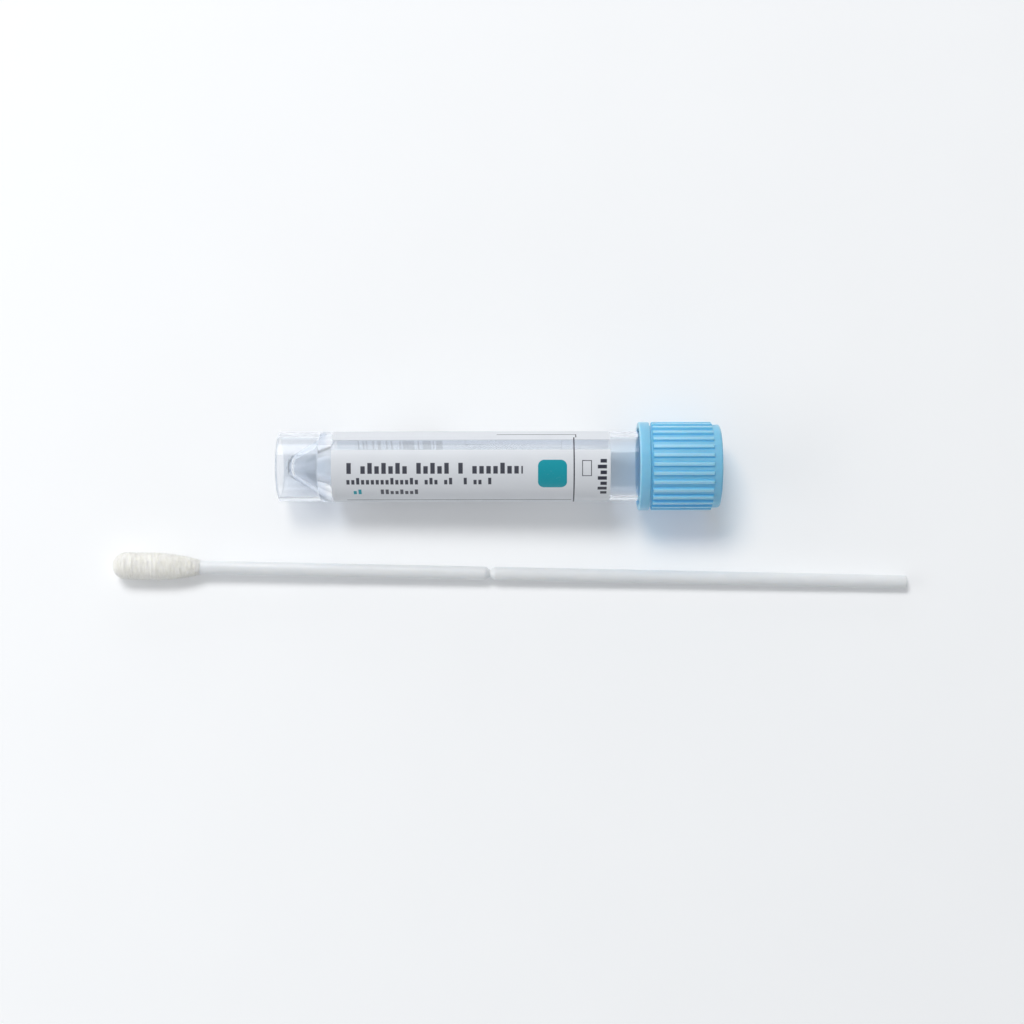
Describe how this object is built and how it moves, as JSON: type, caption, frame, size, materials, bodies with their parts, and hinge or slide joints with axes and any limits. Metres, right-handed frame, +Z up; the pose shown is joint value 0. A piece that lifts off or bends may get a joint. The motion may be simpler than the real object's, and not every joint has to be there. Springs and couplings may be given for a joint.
{
  "type": "specimen swab tube",
  "caption": "Clear skirted sample tube with a light-blue ribbed screw cap and wrap label, holding a little buffer, with its long fibre-tipped swab lying beside it.",
  "frame": {"origin": "middle of the footprint of the tube and swab lying side by side, on the surface they lie on", "axes": "+X along the tube towards its cap, +Y from the swab towards the tube, +Z up"},
  "size_m": [0.1524, 0.0312, 0.0169],
  "materials": {
    "clear_plastic": "clear, polished",
    "blue_plastic": "satin moulded, light blue",
    "seal_rubber": "soft, off-white",
    "label_film": "white printed film",
    "liquid": "clear liquid",
    "white_plastic": "smooth, white",
    "fibre": "wound fibre, matt"
  },
  "bodies": {
    "tube_and_swab": {"tube": "clear_plastic", "label": "label_film", "buffer": "liquid", "swab_shaft": "white_plastic", "swab_tip": "fibre"},
    "seal": {"cap_seal": "seal_rubber"},
    "cap": {"cap": "blue_plastic"}
  },
  "joints": [
    {"name": "cap_lift", "type": "slide", "parent": "tube_and_swab", "child": "seal", "axis": [0.9997, 0, 0.0258], "range_m": [0, 0.00825]},
    {"name": "cap_turn", "type": "hinge", "parent": "seal", "child": "cap", "pos_m": [0.03548, 0.00729, 0.00864], "axis": [0.9997, 0, 0.0258], "range_deg": [0, 990]}
  ],
  "couplings": [
    {"joint": "cap_turn", "follows": "cap_lift", "rad_per_m": 2094.4}
  ]
}
